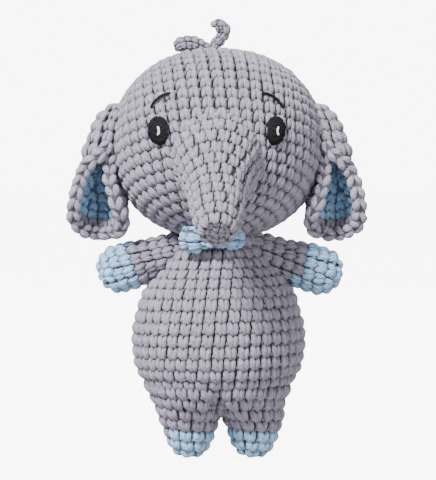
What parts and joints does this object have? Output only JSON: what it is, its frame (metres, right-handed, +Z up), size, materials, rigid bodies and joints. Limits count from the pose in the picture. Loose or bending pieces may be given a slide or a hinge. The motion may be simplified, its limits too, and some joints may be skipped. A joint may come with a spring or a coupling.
{
  "type": "stuffed elephant",
  "caption": "Crocheted stuffed elephant standing on two feet, with a drooping trunk, cupped folded ears, pale blue hands and feet, and a small bow at the neck.",
  "frame": {"origin": "on the floor, under the centre of the toy's box, between the head's back and the trunk's tip", "axes": "+Z up through the standing toy, the face and trunk point along -Y, +X is the elephant's own left"},
  "size_m": [0.168, 0.164, 0.2493],
  "materials": {
    "grey_yarn": "matte",
    "blue_yarn": "matte",
    "black_yarn": "satin",
    "white_yarn": "matte",
    "fibre_fill": "matte"
  },
  "bodies": {
    "torso": {"body_cover": "grey_yarn", "body_stuffing": "fibre_fill", "bow_loops": "blue_yarn", "bow_knot": "blue_yarn"},
    "neck": {"neck_seam_yarn": "grey_yarn"},
    "head": {"head_cover": "grey_yarn", "head_stuffing": "fibre_fill", "trunk_base": "grey_yarn", "left_eye": "black_yarn", "left_eye_glint": "white_yarn", "left_brow": "black_yarn", "right_eye": "black_yarn", "right_eye_glint": "white_yarn", "right_brow": "black_yarn"},
    "trunk": {"trunk_cover": "grey_yarn", "trunk_stuffing": "fibre_fill"},
    "left_ear": {"left_ear_back": "grey_yarn", "left_ear_lining": "blue_yarn", "left_ear_border": "grey_yarn"},
    "right_ear": {"right_ear_back": "grey_yarn", "right_ear_lining": "blue_yarn", "right_ear_border": "grey_yarn"},
    "left_arm": {"left_arm_cover": "grey_yarn", "left_hand_cover": "blue_yarn", "left_arm_stuffing": "fibre_fill"},
    "right_arm": {"right_arm_cover": "grey_yarn", "right_hand_cover": "blue_yarn", "right_arm_stuffing": "fibre_fill"},
    "left_leg": {"left_leg_cover": "grey_yarn", "left_foot_cover": "blue_yarn", "left_leg_stuffing": "fibre_fill"},
    "right_leg": {"right_leg_cover": "grey_yarn", "right_foot_cover": "blue_yarn", "right_leg_stuffing": "fibre_fill"},
    "left_curl": {"left_hair_curl": "grey_yarn"},
    "right_curl": {"right_hair_curl": "grey_yarn"}
  },
  "joints": [
    {"name": "head_turn", "type": "hinge", "parent": "torso", "child": "neck", "pos_m": [0, 0.02497, 0.118], "axis": [0, 0, 1], "range_deg": [-25, 25], "stiffness_Nm_per_rad": 0.5},
    {"name": "head_nod", "type": "hinge", "parent": "neck", "child": "head", "pos_m": [0, 0.02497, 0.118], "axis": [-1, 0, 0], "range_deg": [-8, 12], "stiffness_Nm_per_rad": 1.2},
    {"name": "trunk_lift", "type": "hinge", "parent": "head", "child": "trunk", "pos_m": [0, -0.04623, 0.1527], "axis": [-1, 0, 0], "range_deg": [-20, 25], "stiffness_Nm_per_rad": 0.12},
    {"name": "left_ear_flap", "type": "hinge", "parent": "head", "child": "left_ear", "pos_m": [0.0594, 0.01697, 0.1976], "axis": [0, -1, 0], "range_deg": [0, 40], "stiffness_Nm_per_rad": 0.06},
    {"name": "right_ear_flap", "type": "hinge", "parent": "head", "child": "right_ear", "pos_m": [-0.0594, 0.01697, 0.1976], "axis": [0, 1, 0], "range_deg": [0, 40], "stiffness_Nm_per_rad": 0.06},
    {"name": "left_arm_swing", "type": "hinge", "parent": "torso", "child": "left_arm", "pos_m": [0.029, 0.02497, 0.116], "axis": [0, 0, -1], "range_deg": [-15, 45], "stiffness_Nm_per_rad": 0.08},
    {"name": "right_arm_swing", "type": "hinge", "parent": "torso", "child": "right_arm", "pos_m": [-0.029, 0.02497, 0.116], "axis": [0, 0, 1], "range_deg": [-15, 45], "stiffness_Nm_per_rad": 0.08},
    {"name": "left_leg_swing", "type": "hinge", "parent": "torso", "child": "left_leg", "pos_m": [0.0202, 0.02157, 0.031], "axis": [-1, 0, 0], "range_deg": [-15, 35], "stiffness_Nm_per_rad": 1.5},
    {"name": "right_leg_swing", "type": "hinge", "parent": "torso", "child": "right_leg", "pos_m": [-0.0162, 0.02157, 0.031], "axis": [-1, 0, 0], "range_deg": [-15, 35], "stiffness_Nm_per_rad": 1.5},
    {"name": "left_curl_flop", "type": "hinge", "parent": "head", "child": "left_curl", "pos_m": [-0.0012, 0.02497, 0.2348], "axis": [0, 1, 0], "range_deg": [-20, 25], "stiffness_Nm_per_rad": 0.004},
    {"name": "right_curl_lift", "type": "hinge", "parent": "head", "child": "right_curl", "pos_m": [-0.008, 0.02497, 0.2345], "axis": [0, 1, 0], "range_deg": [0, 25], "stiffness_Nm_per_rad": 0.004}
  ]
}
